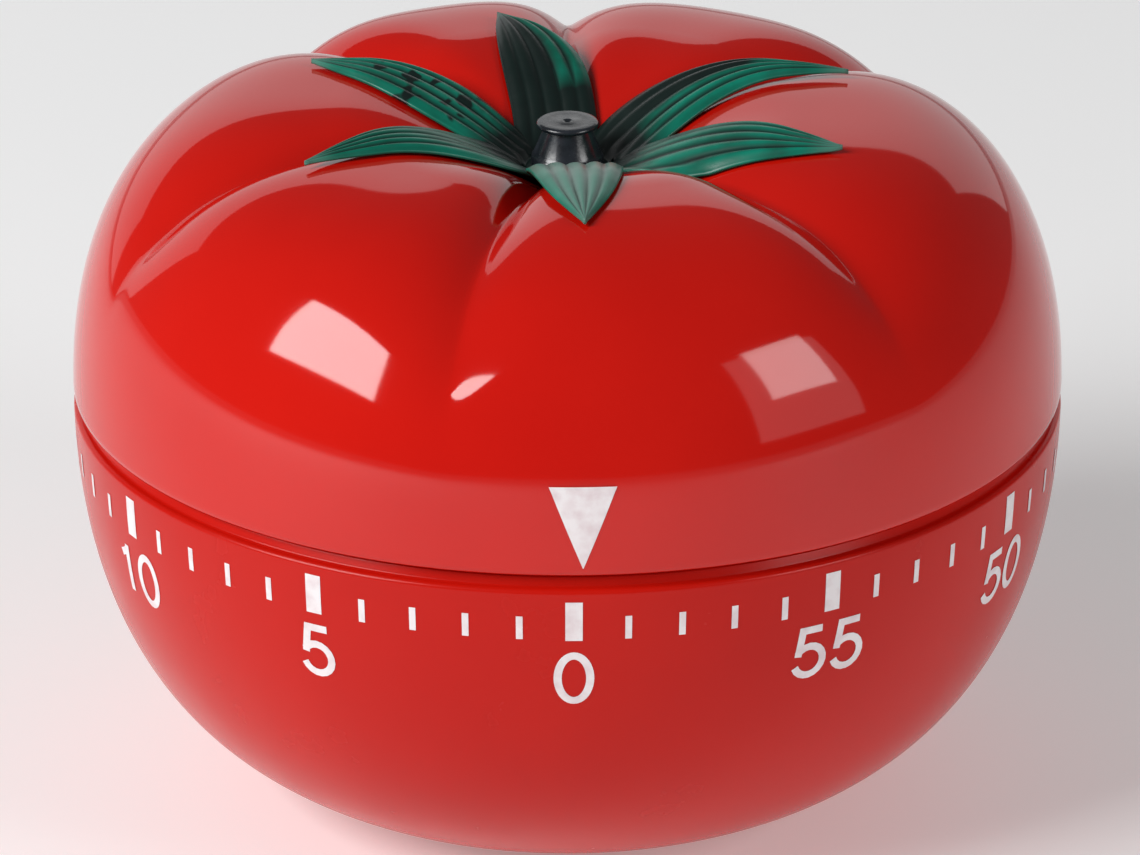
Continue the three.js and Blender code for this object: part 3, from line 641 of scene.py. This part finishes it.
def make_calyx():
    for number, leaf in enumerate(LEAVES, 1):
        rings = leaf_rings(leaf)
        ends = [sum((Vector(p) for p in ring), Vector()) / len(ring) for ring in (rings[0], rings[-1])]
        piece = lofted(f"leaf_{number}", rings, LEAF_GREEN, tuple(tuple(end) for end in ends))
        paint_leaf(piece, number)
        settle(piece, "dial", "green_plastic", *(["calyx"] if number == 1 else []))
    base, top = DIMPLE_FLOOR + 0.00025, DIMPLE_FLOOR + 0.00115
    profile = [(0.003, base), (0.0032, base + 0.0004), (0.003, top - 0.0001), (0.0015, top)]
    hub = turned("calyx_hub", profile, LEAF_GREEN, 48, (base, top))
    store(hub, "spray", [1.0] * len(hub.data.vertices))
    settle(hub, "dial", "green_plastic")


make_calyx()


def make_stem():
    """A cone on a stepped foot, with a thin cap and a moulding pip in its middle."""
    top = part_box("stem")[1][2] - 0.00002
    foot = DIMPLE_FLOOR + 0.00115
    profile = [
        (0.00262, foot), (0.00264, foot + 0.0003), (0.00258, foot + 0.0008), (0.00254, foot + 0.00083),
        (0.0024, foot + 0.0011), (0.00172, top - 0.0006), (0.0017, top - 0.00046), (0.00212, top - 0.0004),
        (0.00222, top - 0.00033), (0.00224, top - 0.0002), (0.00217, top - 0.00006), (0.002, top - 0.00001),
        (0.0015, top - 0.00004), (0.0006, top - 0.00005), (0.00042, top), (0.0003, top - 0.00002),
    ]
    stem = turned("stem_peg", profile, STEM_BLACK, 64, (foot, top - 0.00025))
    settle(stem, "dial", "black_plastic", "stem")


make_stem()

# ---- printed marks ----

MINUTE = radians(6)
ZERO_AT = radians(-90 + 0.705)


def on_case(x, z, lift=0.0):
    """A place on the lower shell, x metres round from the front towards the viewer's left, at height z."""
    azimuth = ZERO_AT - x / R
    radius = cup_radius(z) + INK + lift
    return radius * cos(azimuth), radius * sin(azimuth), z


def ink_sheet(name, patches, place, body):
    """Thin printed shapes. Each patch is a grid of flat places, which place() lays on the surface."""
    points, faces = [], []
    for grid in patches:
        start, count = len(points), len(grid[0])
        points += [place(*spot) for row in grid for spot in row]
        for j in range(len(grid) - 1):
            for i in range(count - 1):
                a = start + j * count + i
                faces.append((a, a + 1, a + count + 1, a + count))
    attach(new_piece(name, points, faces, WHITE_INK), body)


def rectangle(middle, width, top, bottom, across=2, down=4):
    """A grid of flat places in rows from top to bottom."""
    return [
        [(middle + width * (i / across - 0.5), top + (bottom - top) * j / down) for i in range(across + 1)]
        for j in range(down + 1)
    ]


# Width of a mark, and how far its top and bottom lie below the scale's top.
LONG_MARK = 0.0012, 0.00014, 0.0031
SHORT_MARK = 0.00047, 0.00126, 0.00302


def make_scale():
    marks = []
    for minute in range(60):
        width, top, bottom = SHORT_MARK if minute % 5 else LONG_MARK
        marks.append(rectangle(minute * MINUTE * R, width, SCALE_TOP - top, SCALE_TOP - bottom))
    ink_sheet("minute_marks", marks, on_case, "case")


make_scale()

DIGIT_TALL = 0.0042
DIGIT_WIDE = 0.00285
DIGIT_GAP = 0.0003
DIGIT_FOOT = SCALE_TOP - 0.0082
STROKE = 0.00057
LAYER = 0.000006  # a second stroke lies this much over the first


def arc(cx, cy, rx, ry, start, end, steps=16):
    """Points on an ellipse, in digit units, angles in degrees from +x towards +y."""
    turns = (radians(start + (end - start) * i / steps) for i in range(steps + 1))
    return [(cx + rx * cos(a), cy + ry * sin(a)) for a in turns]


# Centre lines of the strokes of each digit: x from 0 to 1 to the right, y from 0 to 1 upward.
DIGITS = {
    "0": [arc(0.5, 0.5, 0.5, 0.5, 90, 450, 40)],
    "1": [[(0.62, 0), (0.62, 1)], [(0.62, 0.92), (0.5, 0.85), (0.24, 0.77)]],
    "2": [arc(0.5, 0.72, 0.46, 0.28, 170, -38) + [(0.2, 0.2), (0.05, 0.0)], [(-0.05, 0), (1, 0)]],
    "3": [arc(0.47, 0.755, 0.4, 0.245, 165, -80), arc(0.47, 0.27, 0.48, 0.27, 80, -165)],
    "4": [[(0.98, 0.26), (0.02, 0.26), (0.7, 1)], [(0.7, 1), (0.7, 0)]],
    "5": [[(0.9, 1), (0.22, 1), (0.1, 0.44)], arc(0.49, 0.32, 0.5, 0.32, 148, -160)],
}


def ribbon(line, half):
    """A strip of constant width along a line of flat places, mitred at its corners."""
    rows = []
    closed = hypot(line[0][0] - line[-1][0], line[0][1] - line[-1][1]) < 1e-7
    for i, (x, y) in enumerate(line):
        ahead = line[min(i + 1, len(line) - 1)]
        behind = line[max(i - 1, 0)]
        if i == 0 and closed:
            behind = line[-2]
        if i == len(line) - 1 and closed:
            ahead = line[1]
        along = [Vector((ahead[0] - x, ahead[1] - y)), Vector((x - behind[0], y - behind[1]))]
        along = [v.normalized() for v in along if v.length > 1e-9]
        mean = sum(along, Vector((0, 0))).normalized()
        normal = Vector((-mean.y, mean.x))
        stretch = half / max(abs(normal.dot(Vector((-along[0].y, along[0].x)))), 0.4)
        rows.append([(x + normal.x * stretch * s, y + normal.y * stretch * s) for s in (-1, 0, 1)])
    return rows


def dense(line, gap=0.00025):
    """The line with points added so that none are further apart than the gap."""
    points = [line[0]]
    for (x0, y0), (x1, y1) in zip(line, line[1:]):
        steps = max(1, int(hypot(x1 - x0, y1 - y0) / gap))
        points += [(x0 + (x1 - x0) * i / steps, y0 + (y1 - y0) * i / steps) for i in range(1, steps + 1)]
    return points


def numeral(text, middle, bottom):
    """Ribbons of a number whose middle is at a place round the case; it reads from outside."""
    wide, tall = DIGIT_WIDE - STROKE, DIGIT_TALL - STROKE
    pitch = DIGIT_WIDE + DIGIT_GAP
    left = middle + pitch * (len(text) - 1) / 2 + wide / 2
    ribbons = []
    for place, digit in enumerate(text):
        for layer, stroke in enumerate(DIGITS[digit]):
            line = [(left - place * pitch - x * wide, bottom + STROKE / 2 + y * tall) for x, y in stroke]
            rows = ribbon(dense(line), STROKE / 2)
            ribbons.append([[(x, z, layer * LAYER) for x, z in row] for row in rows])
    return ribbons


def make_numerals():
    shapes = []
    for minute in range(0, 60, 5):
        shapes += numeral(str(minute), minute * MINUTE * R, DIGIT_FOOT)
    ink_sheet("numerals", shapes, on_case, "case")


make_numerals()

POINTER_AT = radians(-90 + 1.7)
POINTER_TOP = SCALE_TOP + 0.23 * R
POINTER_TIP = SCALE_TOP + 0.067 * R
POINTER_WIDE = 0.0047
POINTER_BLUNT = 0.00002


def on_dial(x, z):
    """A place on the dial's smooth side, x metres round from the pointer's middle, z its height."""
    azimuth = POINTER_AT + x / R
    radius = dial_point(last_place(0, CREASE_START, lambda t: dial_point(t, 0)[1] < z), 0)[0] + INK
    return radius * cos(azimuth), radius * sin(azimuth), z


def make_pointer():
    rows = []
    for j in range(15):
        share = j / 14
        half = POINTER_WIDE / 2 * (1 - share) + POINTER_BLUNT
        height = POINTER_TOP + (POINTER_TIP - POINTER_TOP) * share
        rows.append([(half * (i / 4 - 1), height) for i in range(9)])
    ink_sheet("pointer_mark", [rows], on_dial, "dial")


make_pointer()

# ---- the movement keeps its CAD shapes ----

for entry in frame["record"]["subparts"]:
    if entry["material_slot"] in METALS:
        node = frame["nodes"][entry["node"]]
        node.data.materials.clear()
        node.data.materials.append(METALS[entry["material_slot"]])

# ---- stage, lights and camera ----


def make_floor():
    material, tree, shader = node_material("pale_floor", (0.9, 0.9, 0.9), 0.6)
    color = ramp(tree, noise(tree, 6, 2), [(0.3, (0.89, 0.89, 0.89)), (0.7, (0.91, 0.91, 0.91))])
    tree.links.new(color, shader.inputs["Base Color"])
    shader.inputs["Emission Color"].default_value = (1, 1, 1, 1)
    shader.inputs["Emission Strength"].default_value = 0.22
    half = 6.0
    corners = [(-half, -half, 0), (half, -half, 0), (half, half, 0), (-half, half, 0)]
    new_piece("floor", corners, [(0, 1, 2, 3)], material)


make_floor()


def softbox(name, azimuth, elevation, distance, width, height, power):
    """An area light that faces the timer; distance and size in metres, power in watts."""
    light = bpy.data.lights.new(name, "AREA")
    light.shape = "RECTANGLE"
    light.size, light.size_y = width, height
    light.energy = power
    lamp = bpy.data.objects.new(name, light)
    a, e = radians(azimuth), radians(elevation)
    away = Vector((cos(a) * cos(e), sin(a) * cos(e), sin(e)))
    lamp.location = Vector((0, 0, 0.03)) + away * distance
    lamp.rotation_euler = away.to_track_quat("Z", "Y").to_euler()
    bpy.context.scene.collection.objects.link(lamp)


softbox("left_softbox", -150, 34, 0.9, 0.5, 0.42, 7.3)
softbox("right_softbox", -32, 27, 0.9, 0.29, 0.32, 1.4)
softbox("right_panel", -33, 20, 1.0, 0.5, 0.56, 0.7)
softbox("back_panel", 97, 16, 0.9, 1.7, 0.48, 1.6)

world = bpy.data.worlds.new("studio")
world.use_nodes = True
world.node_tree.nodes["Background"].inputs["Color"].default_value = (0.75, 0.76, 0.78, 1)
world.node_tree.nodes["Background"].inputs["Strength"].default_value = 0.12
bpy.context.scene.world = world
bpy.context.scene.view_settings.view_transform = "Standard"

CAMERA_PLACE = (0, -0.4726, 0.2292)
CAMERA_AIM = (0.00018, -0.00093, 0.02607)
CAMERA_LENS = 222.1

camera_data = bpy.data.cameras.new("camera")
camera_data.sensor_width = 36
camera_data.lens = CAMERA_LENS
camera_data.clip_start = 0.05
camera = bpy.data.objects.new("camera", camera_data)
camera.location = CAMERA_PLACE
camera.rotation_euler = (camera.location - Vector(CAMERA_AIM)).to_track_quat("Z", "Y").to_euler()
bpy.context.scene.collection.objects.link(camera)
bpy.context.scene.camera = camera
